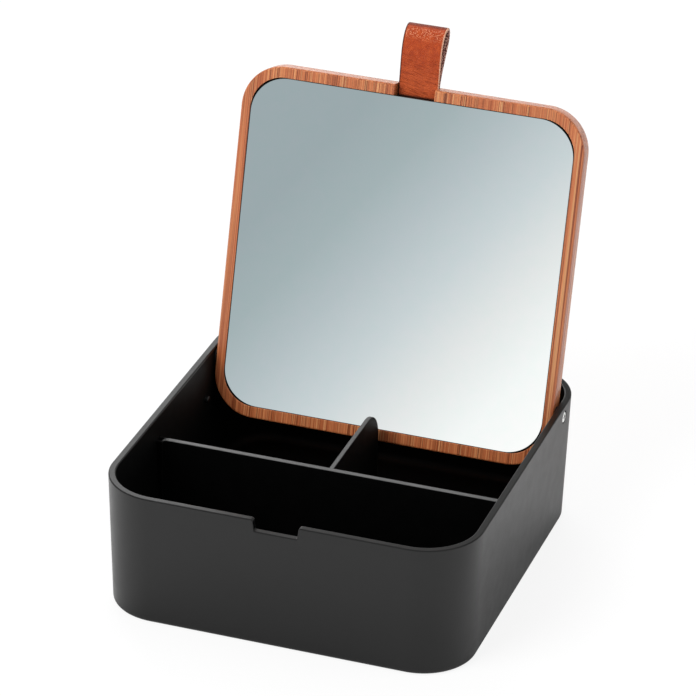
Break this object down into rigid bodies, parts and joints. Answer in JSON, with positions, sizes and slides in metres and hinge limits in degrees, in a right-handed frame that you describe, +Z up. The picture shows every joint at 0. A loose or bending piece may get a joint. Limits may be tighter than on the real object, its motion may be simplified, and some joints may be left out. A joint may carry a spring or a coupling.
{
  "type": "jewelry box with mirror lid",
  "caption": "Open-topped jewelry box with divider plates and a wooden lid that carries a mirror inside, tilts on side pivots and lifts by a leather loop.",
  "frame": {"origin": "middle of the tub's standing ring, on the surface that it stands on", "axes": "+Z up, -Y towards the front wall with the strap notch, +X to the right seen from the front"},
  "size_m": [0.18, 0.2092, 0.2277],
  "materials": {
    "black_plastic": "fine satin moulding",
    "bamboo": "oiled, fine straight grain",
    "mirror": "silvered glass",
    "foam_tape": "double-sided foam tape",
    "leather": "pebbled cognac",
    "steel": "plated",
    "nylon": "plain moulded"
  },
  "bodies": {
    "tub": {"tub_shell": "black_plastic", "cross_divider": "black_plastic", "short_divider": "black_plastic"},
    "lid": {"lid_board": "bamboo", "mirror_glass": "mirror", "mirror_tape": "foam_tape", "strap": "leather", "pivot_screw_left": "steel", "pivot_screw_right": "steel", "pivot_washer_left": "nylon", "pivot_washer_right": "nylon"}
  },
  "joints": [
    {"name": "lid_hinge", "type": "hinge", "parent": "tub", "child": "lid", "pos_m": [0, 0.06039, 0.06035], "axis": [1, 0, 0], "range_deg": [0, 105]}
  ]
}
